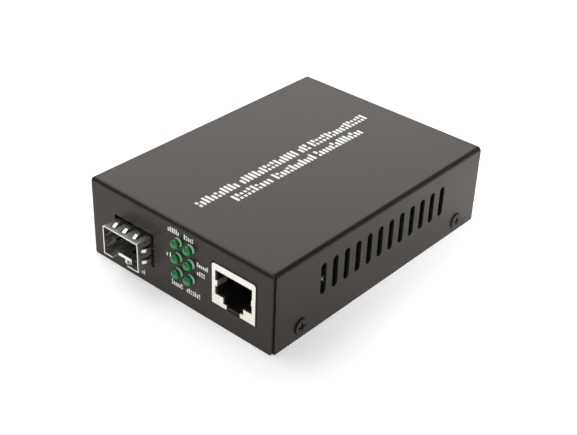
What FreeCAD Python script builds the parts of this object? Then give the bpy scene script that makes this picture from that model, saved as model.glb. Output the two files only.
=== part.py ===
import FreeCAD, Part
import math
import os

# Fibre media converter: a small folded-sheet box with an empty SFP cage, a shielded
# RJ45 socket and six indicator lamps on its front panel, and a DC inlet at its back.
# Millimetres, +Z up. The origin is the middle of the underside and the front faces -Y.

V = FreeCAD.Vector

# ---- Case: cover (top, front and both sides) over a base (bottom and back) ----------
case_width = 71.4
case_depth = 94.7
case_height = 26.0
sheet = 0.8
bend_inside = 0.6
seam = 0.15
panel_side_inset = 0.5
cover_fit = 0.1
front_corner_radius = 0.6
back_inset = 0.3
tab_width = 9.0
tab_height = 8.0
tab_relief = 0.8

# ---- Vent slots, the same row in both sides -----------------------------------------
slot_count = 12
slot_pitch = 5.0
slot_width = 2.3
slot_low = 10.1
slot_length = 10.2
slot_row_middle = 0.25

# ---- Fasteners ----------------------------------------------------------------------
thread_radius = 1.5
thread_fit = 0.05
countersunk_head_radius = 2.5
countersunk_rim = 0.45
countersunk_length = 4.0
cover_screw_height = 3.8
front_screw_inset = 11.5
back_screw_inset = 9.7
pan_head_radius = 2.75
pan_head_height = 1.9
pan_head_rim = 0.7
pan_screw_length = 5.0
recess_size = 2.9
recess_width = 0.65
recess_depth = 1.2

# ---- Circuit board on its standoffs -------------------------------------------------
standoff_height = 4.4
standoff_radius = 2.7
standoff_foot_radius = 2.1
standoff_recess = 0.1
board_thickness = 1.6
board_side_gap = 2.8
board_front_gap = 0.8
board_back_gap = 1.1
board_corner_radius = 1.0
board_screw_clearance = 0.2
pin_hole_clearance = 0.2
pin_stickout = 1.0
standoff_side_inset = 4.0
standoff_back_inset = 5.3
middle_standoff_x = -6.1
middle_standoff_y = -38.35
right_standoff_y = -19.85

# ---- SFP cage -----------------------------------------------------------------------
cage_x = -17.6
cage_width = 14.6
cage_height = 9.6
cage_length = 48.7
cage_reach = 5.3
cage_lift = 0.3
cage_sheet = 0.35
cage_bend_inside = 0.25
cage_fit = 0.05
cage_panel_gap_side = 0.8
cage_panel_gap_top = 0.9
cage_panel_gap_bottom = 0.5
finger_width = 1.2
finger_tip_width = 0.6
finger_slot_width = 2.0
finger_length = 5.6
finger_rise = 0.7
finger_tip_rise = 0.15
finger_root = 0.4
top_finger_setback = 0.95
top_finger_pitch = 4.2
side_finger_setback = 0.9
side_finger_spacing = 3.74
cage_pin_width = 0.8
cage_pin_spots = [14.3, 28.0, 42.0]
floor_tab_width = 1.6
floor_tab_spots = [6.0, 20.0, 34.0]
latch_width = 5.7
latch_offset = -0.5
latch_gap = 0.3
latch_setback = 1.85
latch_length = 12.0
latch_lip = 1.3
latch_bend_radius = 0.3
latch_window = 3.2
latch_window_setback = 3.6
latch_tab_width = 0.7
latch_tab_drop = 1.0
latch_tab_offset = 0.5

# ---- Edge connector at the back of the cage -----------------------------------------
edge_width = 12.0
edge_depth = 8.6
edge_height = 6.2
edge_back_gap = 1.0
edge_slot_width = 9.4
edge_slot_height = 1.5
edge_slot_depth = 6.2
edge_slot_axis = 3.3
edge_contacts = 10
edge_pitch = 0.8
edge_contact_width = 0.35
edge_contact_sheet = 0.2
edge_contact_length = 5.4
edge_foot = 0.8

# ---- RJ45 socket --------------------------------------------------------------------
jack_side_inset = 14.05
jack_width = 15.9
jack_height = 13.2
jack_lift = 0.3
jack_depth = 21.3
jack_reach = 0.3
jack_sheet = 0.3
jack_corner_radius = 0.9
jack_panel_gap = 0.35
jack_panel_corner = 0.8
jack_fit = 0.05
jack_window_width = 13.5
jack_window_low = 3.3
jack_window_high = 11.2
jack_key_width = 7.4
jack_key_low = 1.4
jack_latch_width = 5.0
jack_latch_low = 0.8
jack_cavity_inset = 0.5
jack_cavity_depth = 14.0
jack_spring_height = 1.9
jack_spring_low = 5.9
jack_spring_reach = 0.75
jack_spring_length = 3.6
jack_contacts = 8
jack_contact_pitch = 1.02
jack_contact_section = 0.35
jack_contact_drop = 3.2
jack_contact_reach = 8.0
jack_pin_setback = 2.0
jack_comb_setback = 2.2
jack_contact_space = 0.12
jack_row_spacing = 2.5
jack_peg_radius = 1.6
jack_peg_length = 2.4
jack_peg_spacing = 11.4
jack_peg_setback = 12.7
jack_foot_radius = 1.85
jack_shield_pin_width = 1.2
jack_shield_pin_setback = 9.0

# ---- Indicator lamps: two columns of three, in a stepped holder ---------------------
lamp_radius = 1.5
lamp_reach = 2.3
lamp_flange_radius = 1.9
lamp_flange = 1.0
lamp_setback = 0.6
lamp_hole_gap = 0.22
lamp_left_x = 0.3
lamp_column_pitch = 4.8
lamp_rows = 3
lamp_pitch = 5.0
lamp_first_height = 3.2
lamp_fit = 0.1
holder_overlap = 2.4
holder_panel_gap = 0.15
holder_depth = 4.0
holder_step = 2.2
lead_section = 0.5
lead_pitch = 2.54
lead_bend_gap = 0.7

# ---- DC inlet -----------------------------------------------------------------------
inlet_side_inset = 17.0
inlet_width = 9.0
inlet_axis_height = 6.5
inlet_depth = 13.4
inlet_flange = 3.4
inlet_flange_height = 11.0
inlet_nose_radius = 4.0
inlet_nose_gap = 0.2
inlet_panel_gap = 0.3
inlet_bore_radius = 3.15
inlet_bore_depth = 9.6
inlet_pin_radius = 1.0
inlet_pin_setback = 0.8
inlet_pin_root = 2.0
inlet_tail_width = 2.0
inlet_tail_sheet = 0.5

# ---- Other parts on the board: place (x, y) and size --------------------------------
solder_gap = 0.05
transformer_place = (13.0, -14.5)
transformer_size = (12.7, 9.0, 5.8)
transformer_leads_per_side = 8
transformer_lead_pitch = 1.27
chip_place = (13.0, 6.0)
chip_size = (10.0, 10.0, 1.4)
chip_leads_per_side = 11
chip_lead_pitch = 0.8
memory_place = (-2.0, -12.0)
regulator_place = (3.0, 27.0)
small_chip_size = (4.9, 3.9, 1.5)
small_chip_leads_per_side = 4
small_chip_lead_pitch = 1.27
gull_sheet = 0.2
gull_width = 0.35
gull_reach = 1.1
gull_foot = 0.5
crystal_place = (-0.5, 6.0)
crystal_width = 4.6
crystal_length = 11.2
crystal_height = 3.4
crystal_flange = 0.45
inductor_place = (13.0, 27.5)
inductor_size = 7.3
inductor_height = 4.0
inductor_corner = 1.6
capacitor_places = [(-4.0, 38.0), (9.0, 39.0)]
capacitor_radius = 4.0
capacitor_height = 10.0
capacitor_base = 1.2
capacitor_base_overhang = 0.15
capacitor_groove = 0.4
diode_place = (-4.5, 28.0)
diode_size = (4.4, 2.7, 2.2)
diode_strap = 0.2
diode_strap_width = 1.4
resistor_size = (2.0, 1.25, 0.55)
resistor_row_place = (22.8, -3.0)
resistor_row_count = 6
resistor_row_pitch = 3.2

# ---- Heights and places that follow from the sizes above ----------------------------
half_width = case_width / 2
front = -case_depth / 2
back = case_depth / 2
bend_outside = bend_inside + sheet
panel_back = front + sheet
side_front = panel_back + seam
roof_inside = case_height - sheet
base_half_width = half_width - sheet - cover_fit
back_panel_outside = back - back_inset
back_panel_inside = back_panel_outside - sheet
board_bottom = sheet + standoff_height
board_top = board_bottom + board_thickness
board_front = panel_back + board_front_gap
board_back = back_panel_inside - board_back_gap
board_half_width = base_half_width - sheet - board_side_gap
standoff_x = board_half_width - standoff_side_inset
standoff_back_y = board_back - standoff_back_inset
standoff_spots = [
    (middle_standoff_x, middle_standoff_y),
    (standoff_x, right_standoff_y),
    (-standoff_x, standoff_back_y),
    (standoff_x, standoff_back_y),
]
pin_end = board_bottom - pin_stickout
cage_front = front - cage_reach
cage_back = cage_front + cage_length
cage_bottom = board_top + cage_lift
cage_top = cage_bottom + cage_height
latch_x = cage_x + latch_offset
jack_x = half_width - jack_side_inset
jack_bottom = board_top + jack_lift
jack_front = front - jack_reach
jack_back = jack_front + jack_depth
inlet_x = inlet_side_inset - half_width
inlet_axis = board_top + inlet_axis_height
inlet_front = back_panel_inside - inlet_panel_gap
lamp_columns = [lamp_left_x, lamp_left_x + lamp_column_pitch]
lamp_heights = [board_top + lamp_first_height + lamp_pitch * row for row in range(lamp_rows)]
cover_screw_spots = [
    (side, y)
    for side in (-1, 1)
    for y in (front + front_screw_inset, back - back_screw_inset)
]


# ---- Shape helpers ------------------------------------------------------------------
def block(x0, x1, y0, y1, z0, z1):
    """Box between two corners."""
    return Part.makeBox(x1 - x0, y1 - y0, z1 - z0, V(x0, y0, z0))


def rod(radius, start, end):
    """Round bar from one point to another."""
    axis = end - start
    return Part.makeCylinder(radius, axis.Length, start, axis)


def on_plane(plane, point, height):
    """Point of a drawing plane in space, at a height along the plane's normal."""
    u, v = point
    if plane == "xz":
        return V(u, height, v)
    if plane == "yz":
        return V(height, u, v)
    return V(u, v, height)


def extruded(wire, plane, low, high):
    """Solid of a closed wire drawn at the low end of its run."""
    run = on_plane(plane, (0, 0), high - low)
    return Part.Face(wire).extrude(run)


def prism(points, plane, low, high):
    """Solid with a polygon as its section."""
    corners = [on_plane(plane, point, low) for point in points]
    return extruded(Part.makePolygon(corners + corners[:1]), plane, low, high)


def strip_side(points, offset, radius):
    """Lines and arcs along one face of a bent strip, as lists of two or three points."""
    runs = []
    for (u0, v0), (u1, v1) in zip(points, points[1:]):
        length = math.hypot(u1 - u0, v1 - v0)
        runs.append(((u1 - u0) / length, (v1 - v0) / length))
    side = []
    here = (points[0][0] - runs[0][1] * offset, points[0][1] + runs[0][0] * offset)
    for (u, v), (a, b), (c, d) in zip(points[1:], runs, runs[1:]):
        turn = math.atan2(a * d - b * c, a * c + b * d)
        if radius == 0:
            share = offset / (1 + math.cos(turn))
            side.append([here, (u - (b + d) * share, v + (a + c) * share)])
            here = side[-1][-1]
            continue
        trim = radius * math.tan(abs(turn) / 2)
        hand = math.copysign(1, turn)
        centre = (u - a * trim - b * hand * radius, v - b * trim + a * hand * radius)
        reach = math.hypot(u - centre[0], v - centre[1])
        arc_radius = radius - hand * offset
        start = (centre[0] + b * hand * arc_radius, centre[1] - a * hand * arc_radius)
        end = (centre[0] + d * hand * arc_radius, centre[1] - c * hand * arc_radius)
        middle = (
            centre[0] + (u - centre[0]) / reach * arc_radius,
            centre[1] + (v - centre[1]) / reach * arc_radius,
        )
        side.append([here, start])
        side.append([start, middle, end])
        here = end
    last = runs[-1]
    side.append([here, (points[-1][0] - last[1] * offset, points[-1][1] + last[0] * offset)])
    return side


def bent_strip(points, thickness, radius, plane, low, high):
    """Strip of sheet bent along a path, with concentric bends, or mitred ones at radius 0."""
    near = strip_side(points, thickness / 2, radius)
    far = strip_side(points, -thickness / 2, radius)
    far = [list(reversed(piece)) for piece in reversed(far)]
    outline = near + [[near[-1][-1], far[0][0]]] + far + [[far[-1][-1], near[0][0]]]
    edges = []
    for piece in outline:
        corners = [on_plane(plane, point, low) for point in piece]
        if len(corners) == 3:
            edges.append(Part.Arc(*corners).toShape())
        elif corners[0].distanceToPoint(corners[1]) > 1e-6:
            edges.append(Part.makeLine(*corners))
    return extruded(Part.Wire(edges), plane, low, high)


def turned(profile, origin):
    """Solid turned about a vertical axis from a list of (radius, height) points."""
    corners = [origin + V(radius, 0, height) for radius, height in profile]
    face = Part.Face(Part.makePolygon(corners + corners[:1]))
    return face.revolve(origin, V(0, 0, 1), 360)


def joined(shapes):
    """One solid from pieces that meet, without the seams between them."""
    first = shapes[0]
    return first.fuse(shapes[1:]).removeSplitter() if len(shapes) > 1 else first


def rounded(shape, radius, axis, chosen=lambda point: True):
    """Fillet on the straight edges along an axis whose middle point passes a test."""
    edges = []
    for edge in shape.Edges:
        ends = edge.Vertexes
        if len(ends) == 2 and chosen(edge.CenterOfMass):
            run = ends[1].Point - ends[0].Point
            if abs(run.dot(axis)) > 0.999 * run.Length:
                edges.append(edge)
    return shape.makeFillet(radius, edges)


def moved(shape, offset, axis=V(0, 0, 1), angle=0.0):
    """Copy of a shape, turned about the origin and then shifted."""
    copy = shape.copy()
    copy.rotate(V(0, 0, 0), axis, angle)
    copy.translate(offset)
    return copy


# ---- Fasteners ----------------------------------------------------------------------
def cross_recess():
    """Tapered cross-shaped driver recess cut down from height 0."""
    top = recess_size / 2
    foot = recess_size / 6
    half = recess_width / 2
    outline = [(-top, 0), (top, 0), (foot, -recess_depth), (-foot, -recess_depth)]
    one_way = prism(outline, "xz", -half, half)
    other_way = prism(outline, "yz", -half, half)
    return one_way.fuse(other_way)


def countersunk_envelope(extra):
    """Countersunk screw body with the rim of its head above height 0, grown by a clearance."""
    head = countersunk_head_radius + extra
    shank = thread_radius + extra
    profile = [
        (0, countersunk_rim),
        (head, countersunk_rim),
        (head, 0),
        (shank, shank - head),
        (shank, -countersunk_length - extra),
        (0, -countersunk_length - extra),
    ]
    return turned(profile, V(0, 0, 0))


def cover_screw_place(shape, side, y):
    """Shape with height 0 set on the outside of one side wall of the case."""
    return moved(shape, V(side * half_width, y, cover_screw_height), V(0, 1, 0), side * 90)


def cover_screws():
    """Four countersunk screws, a little proud, that hold the cover to the tabs of the base."""
    screw = countersunk_envelope(0).cut(moved(cross_recess(), V(0, 0, countersunk_rim)))
    return [cover_screw_place(screw, side, y) for side, y in cover_screw_spots]


def cover_screw_holes():
    """Countersunk holes for the cover screws, through cover and tab alike."""
    space = countersunk_envelope(thread_fit)
    return [cover_screw_place(space, side, y) for side, y in cover_screw_spots]


def pan_head():
    """Screw head standing on height 0, with a sloped rim."""
    outline = [
        (0, 0),
        (pan_head_radius, 0),
        (pan_head_radius, pan_head_height - pan_head_rim),
        (pan_head_radius - pan_head_rim, pan_head_height),
        (0, pan_head_height),
    ]
    return turned(outline, V(0, 0, 0))


def board_screws():
    """Four pan-headed screws that hold the board down on its standoffs."""
    head = pan_head().cut(moved(cross_recess(), V(0, 0, pan_head_height)))
    shank = rod(thread_radius, V(0, 0, 0), V(0, 0, -pan_screw_length))
    screw = joined([head, shank])
    return [moved(screw, V(x, y, board_top)) for x, y in standoff_spots]


def board_standoffs():
    """Four threaded standoffs whose feet are pressed into the base."""
    outline = [
        (0, standoff_recess),
        (standoff_foot_radius, standoff_recess),
        (standoff_foot_radius, sheet),
        (standoff_radius, sheet),
        (standoff_radius, board_bottom),
        (0, board_bottom),
    ]
    bore_depth = pan_screw_length - board_thickness + thread_radius / 2
    standoffs = []
    for x, y in standoff_spots:
        bore = rod(thread_radius + thread_fit, V(x, y, board_bottom - bore_depth), V(x, y, board_top))
        standoffs.append(turned(outline, V(x, y, 0)).cut(bore))
    return standoffs


# ---- Case ---------------------------------------------------------------------------
def vent_slots():
    """Round-ended upright slots, each cut straight through both sides."""
    end = slot_width / 2
    low = slot_low + end
    high = slot_low + slot_length - end
    cuts = []
    for index in range(slot_count):
        y = slot_row_middle + (index - (slot_count - 1) / 2) * slot_pitch
        middle = block(-case_width, case_width, y - end, y + end, low, high)
        foot = rod(end, V(-case_width, y, low), V(case_width, y, low))
        head = rod(end, V(-case_width, y, high), V(case_width, y, high))
        cuts.append(middle.fuse([foot, head]))
    return cuts


def front_openings():
    """Cut-outs of the front panel for the cage, the socket and the lamps."""
    y0 = front - sheet
    y1 = panel_back + sheet
    cage_half = cage_width / 2 + cage_panel_gap_side
    jack_half = jack_width / 2 + jack_panel_gap
    cage_hole = block(
        cage_x - cage_half, cage_x + cage_half, y0, y1,
        cage_bottom - cage_panel_gap_bottom, cage_top + cage_panel_gap_top,
    )
    jack_hole = block(
        jack_x - jack_half, jack_x + jack_half, y0, y1,
        jack_bottom - jack_panel_gap, jack_bottom + jack_height + jack_panel_gap,
    )
    cuts = [cage_hole, rounded(jack_hole, jack_panel_corner, V(0, 1, 0))]
    for x in lamp_columns:
        for z in lamp_heights:
            cuts.append(rod(lamp_radius + lamp_hole_gap, V(x, y0, z), V(x, y1, z)))
    return cuts


def cover_folds():
    """Roof and sides of the cover, bent over their two long edges, behind the front seam."""
    wall = half_width - sheet / 2
    roof = case_height - sheet / 2
    path = [(wall, 0), (wall, roof), (-wall, roof), (-wall, 0)]
    folds = bent_strip(path, sheet, bend_inside + sheet / 2, "xz", side_front, back)
    fold_half = half_width - bend_outside
    front_bend = block(
        -fold_half, fold_half, front - sheet, front + bend_outside,
        case_height - bend_outside, case_height + sheet,
    )
    return folds.cut(front_bend)


def cover_front():
    """Front panel with the fold that joins it to the roof and an ear past each fold end."""
    fold_low = case_height - bend_outside
    fold_half = half_width - bend_outside
    panel_half = half_width - panel_side_inset
    face = front + sheet / 2
    roof = case_height - sheet / 2
    path = [(face, sheet), (face, roof), (face + 2 * bend_outside, roof)]
    bend = bend_inside + sheet / 2
    fold = bent_strip(path, sheet, bend, "yz", -fold_half, fold_half)
    panel = block(-panel_half, panel_half, front, panel_back, 0, fold_low)
    panel = rounded(panel, front_corner_radius, V(0, 1, 0), lambda point: point.z < sheet)
    ears = []
    for side in (-1, 1):
        near, far = sorted((side * fold_half, side * panel_half))
        x = side * fold_half
        corner = rod(bend_outside, V(x, front, fold_low), V(x, panel_back, fold_low))
        ears.append(bent_strip(path, sheet, bend, "yz", near, far).common(corner))
    return joined([panel, fold] + ears)


def housing_shell():
    """Cover folded from one sheet: roof, front panel and both slotted sides."""
    cover = joined([cover_folds(), cover_front()])
    return [cover.cut(vent_slots() + front_openings() + cover_screw_holes())]


def base_tabs():
    """Four tabs bent up from the base, which take the cover screws."""
    wall = base_half_width - sheet / 2
    floor = sheet / 2
    tabs = []
    for side, y in cover_screw_spots:
        path = [(side * (wall - 3 * bend_outside), floor), (side * wall, floor), (side * wall, tab_height)]
        tabs.append(
            bent_strip(
                path, sheet, bend_inside + sheet / 2, "xz", y - tab_width / 2, y + tab_width / 2
            )
        )
    return tabs


def base_plate():
    """Base folded from one sheet: bottom, back panel and the screw tabs."""
    floor = sheet / 2
    wall = back_panel_outside - sheet / 2
    path = [(side_front, floor), (wall, floor), (wall, roof_inside - cover_fit)]
    plate = bent_strip(
        path, sheet, bend_inside + sheet / 2, "yz", -base_half_width, base_half_width
    )
    reach = tab_width / 2 + tab_relief
    notch = base_half_width - bend_outside - tab_relief
    for side, y in cover_screw_spots:
        near, far = sorted((side * notch, side * half_width))
        plate = plate.cut(block(near, far, y - reach, y + reach, -sheet, tab_height))
    plate = rounded(
        plate, bend_inside + cover_fit, V(0, 1, 0),
        lambda point: point.z > roof_inside - cover_fit - seam,
    )
    plate = joined([plate] + base_tabs())
    feet = [
        rod(standoff_foot_radius, V(x, y, -sheet), V(x, y, 2 * sheet)) for x, y in standoff_spots
    ]
    nose = rod(
        inlet_nose_radius + inlet_nose_gap,
        V(inlet_x, back_panel_inside - sheet, inlet_axis),
        V(inlet_x, back + sheet, inlet_axis),
    )
    return [plate.cut(feet + [nose] + cover_screw_holes())]


# ---- SFP cage -----------------------------------------------------------------------
def finger_path(start):
    """Bowed contact finger in side view, as (depth, rise above the wall) points."""
    crest = start + 0.3 * finger_length
    return [
        (start - finger_root, 0),
        (start + 0.1 * finger_length, 0),
        (crest, finger_rise),
        (crest + 0.2 * finger_length, finger_rise),
        (start + 0.9 * finger_length, finger_tip_rise),
        (start + finger_length, finger_tip_rise),
    ]


def finger_places():
    """Each finger as (wall, place across the wall, first depth)."""
    top_start = cage_front + top_finger_setback
    side_start = cage_front + side_finger_setback
    middle = cage_bottom + cage_height / 2
    places = [("top", cage_x + step * top_finger_pitch, top_start) for step in (-1, 0, 1)]
    for wall in ("left", "right"):
        for step in (-0.5, 0.5):
            places.append((wall, middle + step * side_finger_spacing, side_start))
    return places


def cage_finger(wall, place, start):
    """One contact finger, standing out of its wall and narrowing towards its free tip."""
    bow = 2 * cage_sheet
    half = finger_width / 2
    tip = finger_tip_width / 2
    path = finger_path(start)
    root, end = path[0][0], path[-1][0]
    reach = finger_rise + cage_sheet
    if wall == "top":
        level = cage_top - cage_sheet / 2
        line = [(y, level + rise) for y, rise in path]
        strip = bent_strip(line, cage_sheet, bow, "yz", place - half, place + half)
        plan = [(place - half, root), (place + half, root), (place + tip, end), (place - tip, end)]
        return strip.common(prism(plan, "xy", level - reach, level + reach))
    side = -1 if wall == "left" else 1
    level = cage_x + side * (cage_width - cage_sheet) / 2
    line = [(level + side * rise, y) for y, rise in path]
    strip = bent_strip(line, cage_sheet, bow, "xy", place - half, place + half)
    plan = [(root, place - half), (root, place + half), (end, place + tip), (end, place - tip)]
    return strip.common(prism(plan, "yz", level - reach, level + reach))


def finger_slot(wall, place, start):
    """Slot that a finger is cut from, through its wall."""
    half = finger_slot_width / 2
    end = start + finger_length + finger_root
    if wall == "top":
        return block(
            place - half, place + half, start, end, cage_top - 2 * cage_sheet, cage_top + cage_sheet
        )
    side = -1 if wall == "left" else 1
    level = cage_x + side * cage_width / 2
    return block(
        level - 2 * cage_sheet, level + 2 * cage_sheet, start, end, place - half, place + half
    )


def cage_pins():
    """Press-fit pins along the foot of both cage walls, as blocks."""
    half = cage_pin_width / 2
    pins = []
    for side in (-1, 1):
        outer = cage_x + side * cage_width / 2
        near, far = sorted((outer, outer - side * cage_sheet))
        for depth in cage_pin_spots:
            y = cage_front + depth
            pins.append(block(near, far, y - half, y + half, pin_end, cage_bottom + cage_sheet))
    return pins


def floor_tabs(extra):
    """Tabs of the cage floor that lock into notches along the foot of both walls."""
    half = floor_tab_width / 2 + extra
    outer = cage_width / 2
    tabs = []
    for side in (-1, 1):
        near, far = sorted((cage_x + side * (outer - 2 * cage_sheet), cage_x + side * outer))
        for depth in floor_tab_spots:
            y = cage_front + depth
            tabs.append(
                block(near, far, y - half, y + half, cage_bottom - extra, cage_bottom + cage_sheet + extra)
            )
    return tabs


def sfp_cage_shell():
    """Top, sides and back flap of the cage, with its contact fingers and board pins."""
    half = (cage_width - cage_sheet) / 2
    level = cage_top - cage_sheet / 2
    bend = cage_bend_inside + cage_sheet / 2
    path = [
        (cage_x + half, cage_bottom),
        (cage_x + half, level),
        (cage_x - half, level),
        (cage_x - half, cage_bottom),
    ]
    walls = bent_strip(path, cage_sheet, bend, "xz", cage_front, cage_back)
    corner = cage_bend_inside + cage_sheet
    walls = walls.cut(
        block(cage_x - cage_width, cage_x + cage_width, cage_back - corner, cage_back + corner,
              cage_top - corner, cage_top + corner)
    )
    flap_half = cage_width / 2 - corner
    flap = bent_strip(
        [(cage_back - 4 * corner, level), (cage_back - cage_sheet / 2, level),
         (cage_back - cage_sheet / 2, cage_bottom)],
        cage_sheet, bend, "yz", cage_x - flap_half, cage_x + flap_half,
    )
    shell = joined([walls, flap])
    shell = shell.cut([finger_slot(*place) for place in finger_places()] + floor_tabs(cage_fit))
    return [joined([shell] + [cage_finger(*place) for place in finger_places()] + cage_pins())]


def latch_tongue():
    """Springy tongue of the floor, with its raised front lip and the latch window."""
    level = cage_bottom + cage_sheet / 2
    tip = cage_front + latch_setback
    half = latch_width / 2
    line = [
        (tip + latch_length, level),
        (tip + cage_sheet / 2, level),
        (tip + cage_sheet / 2, cage_bottom + latch_lip),
    ]
    tongue = bent_strip(line, cage_sheet, latch_bend_radius, "yz", latch_x - half, latch_x + half)
    window = latch_window / 2
    y = tip + latch_window_setback
    hole = block(
        latch_x - window, latch_x + window, y, y + latch_window,
        cage_bottom - cage_sheet, cage_bottom + 2 * cage_sheet,
    )
    x = latch_x + latch_tab_offset
    tab = block(
        x - latch_tab_width / 2, x + latch_tab_width / 2, tip, tip + cage_sheet,
        cage_bottom - latch_tab_drop, cage_bottom + 2 * cage_sheet,
    )
    return joined([tongue.cut(hole), tab])


def sfp_cage_floor():
    """Bottom plate of the cage between its walls, with the latch tongue cut free."""
    half = cage_width / 2 - cage_sheet - cage_fit
    end = cage_back - edge_back_gap - edge_depth - edge_back_gap
    plate = block(cage_x - half, cage_x + half, cage_front, end, cage_bottom, cage_bottom + cage_sheet)
    gap = latch_width / 2 + latch_gap
    root = cage_front + latch_setback + latch_length
    opening = block(
        latch_x - gap, latch_x + gap, cage_front - cage_sheet, root - latch_gap,
        cage_bottom - cage_sheet, cage_bottom + 2 * cage_sheet,
    )
    tabs = floor_tabs(0)
    return [joined([plate.cut(opening), latch_tongue()] + tabs)]


# ---- Edge connector -----------------------------------------------------------------
def edge_frame():
    """Front and back of the edge connector, and the height of its slot."""
    end = cage_back - cage_sheet - edge_back_gap
    return end - edge_depth, end, board_top + edge_slot_axis


def edge_contact(upper, x, extra):
    """One contact: along a face of the slot, then down to its foot on the board."""
    start, end, axis = edge_frame()
    half = edge_contact_width / 2 + extra
    thickness = edge_contact_sheet + 2 * extra
    bend = thickness
    offset = edge_slot_height / 2 + edge_contact_sheet / 2
    foot = board_top + solder_gap + edge_contact_sheet / 2
    tip = start + 2 * edge_contact_sheet
    if upper:
        heel = end + edge_foot / 2
        line = [(tip, axis + offset), (heel, axis + offset), (heel, foot)]
    else:
        heel = start - edge_foot / 2
        line = [(tip + edge_contact_length, axis - offset), (heel, axis - offset), (heel, foot)]
    return bent_strip(line, thickness, bend, "yz", x - half, x + half)


def edge_contact_places():
    """Both rows of contacts as (upper row or not, place across the connector)."""
    places = []
    for upper in (False, True):
        for index in range(edge_contacts):
            x = cage_x + (index - (edge_contacts - 1) / 2) * edge_pitch
            places.append((upper, x))
    return places


def sfp_connector_contacts():
    """Twenty contact springs, ten above and ten below the slot."""
    return [edge_contact(upper, x, 0) for upper, x in edge_contact_places()]


def sfp_connector_body():
    """Moulded body that the module's edge card plugs into."""
    start, end, axis = edge_frame()
    half = edge_width / 2
    body = block(cage_x - half, cage_x + half, start, end, board_top, board_top + edge_height)
    slot_half = edge_slot_width / 2
    slot = block(
        cage_x - slot_half, cage_x + slot_half, start - edge_foot, start + edge_slot_depth,
        axis - edge_slot_height / 2, axis + edge_slot_height / 2,
    )
    grooves = [edge_contact(upper, x, solder_gap) for upper, x in edge_contact_places()]
    return [body.cut([slot] + grooves)]


# ---- RJ45 socket --------------------------------------------------------------------
def jack_section(grow):
    """Stepped plug opening seen from the front, shrunk by a margin where it is plastic."""
    half = jack_window_width / 2 - grow
    key = jack_key_width / 2 - grow / 2
    latch = jack_latch_width / 2 - grow / 2
    low = jack_bottom + jack_window_low + grow / 2
    high = jack_bottom + jack_window_high - grow
    key_low = jack_bottom + jack_key_low
    latch_low = jack_bottom + jack_latch_low
    right = [(half, high), (half, low), (key, low), (key, key_low), (latch, key_low), (latch, latch_low)]
    left = [(-x, z) for x, z in reversed(right)]
    return [(jack_x + x, z) for x, z in right + left]


def jack_spring(side, extra):
    """Ground spring folded back into the plug opening from the edge of the window."""
    edge = jack_window_width / 2
    thickness = jack_sheet + 2 * extra
    face = jack_front + jack_sheet / 2
    line = [
        (jack_x + side * (edge + jack_sheet), face),
        (jack_x + side * (edge - jack_spring_reach / 2), face),
        (jack_x + side * (edge - jack_spring_reach), face + jack_spring_length),
    ]
    low = jack_bottom + jack_spring_low
    return bent_strip(
        line, thickness, thickness, "xy", low - extra, low + jack_spring_height + extra
    )


def jack_shield_pins(extra):
    """Two solder pins of the shield."""
    half = jack_shield_pin_width / 2 + extra
    y = jack_front + jack_shield_pin_setback
    pins = []
    for side in (-1, 1):
        outer = jack_x + side * (jack_width / 2 + extra)
        inner = jack_x + side * (jack_width / 2 - jack_sheet - extra)
        near, far = sorted((outer, inner))
        pins.append(block(near, far, y - half, y + half, pin_end, jack_bottom + jack_sheet))
    return pins


def rj45_shield():
    """Plated shield wrapped round the socket, open below, with the window in its face."""
    half = jack_width / 2
    top = jack_bottom + jack_height
    rounded_top = lambda point: point.z > jack_bottom + jack_sheet
    outer = rounded(
        block(jack_x - half, jack_x + half, jack_front, jack_back, jack_bottom, top),
        jack_corner_radius, V(0, 1, 0), rounded_top,
    )
    inner_half = half - jack_sheet
    inside = block(
        jack_x - inner_half, jack_x + inner_half, jack_front + jack_sheet, jack_back - jack_sheet,
        jack_bottom - jack_sheet, top - jack_sheet,
    )
    inside = rounded(inside, jack_corner_radius - jack_sheet / 2, V(0, 1, 0), rounded_top)
    window = prism(jack_section(0), "xz", jack_front - jack_sheet, jack_front + 2 * jack_sheet)
    latch_half = jack_latch_width / 2
    foot = block(
        jack_x - latch_half, jack_x + latch_half, jack_front - jack_sheet, jack_front + 2 * jack_sheet,
        jack_bottom - jack_sheet, jack_bottom + jack_key_low,
    )
    springs = [jack_spring(side, 0) for side in (-1, 1)]
    return [joined([outer.cut([inside, window, foot])] + springs + jack_shield_pins(0))]


def jack_contact(index, extra):
    """One spring wire: from its free tip forward, round the comb, back and down to the board."""
    x = jack_x + (index - (jack_contacts - 1) / 2) * jack_contact_pitch
    section = jack_contact_section + 2 * extra
    roof = jack_bottom + jack_window_high
    comb = jack_front + jack_comb_setback
    channel = (roof + jack_bottom + jack_height) / 2
    heel = jack_front + jack_cavity_depth + jack_pin_setback + jack_row_spacing * (index % 2)
    line = [
        (comb + jack_contact_reach + extra, roof - jack_contact_drop),
        (comb + 1.0, roof - 0.9),
        (comb, roof - 0.4),
        (comb, channel),
        (heel, channel),
        (heel, pin_end - extra),
    ]
    half = section / 2
    return bent_strip(line, section, section * 0.75, "yz", x - half, x + half)


def rj45_contacts():
    """Eight spring wires in two staggered rows of board pins."""
    return [jack_contact(index, 0) for index in range(jack_contacts)]


def jack_posts(radius, low):
    """Two upright posts under the socket: its pegs, or the feet that stand on the board."""
    y = jack_front + jack_peg_setback
    return [
        rod(
            radius,
            V(jack_x + side * jack_peg_spacing / 2, y, low),
            V(jack_x + side * jack_peg_spacing / 2, y, jack_bottom + jack_sheet),
        )
        for side in (-1, 1)
    ]


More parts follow.
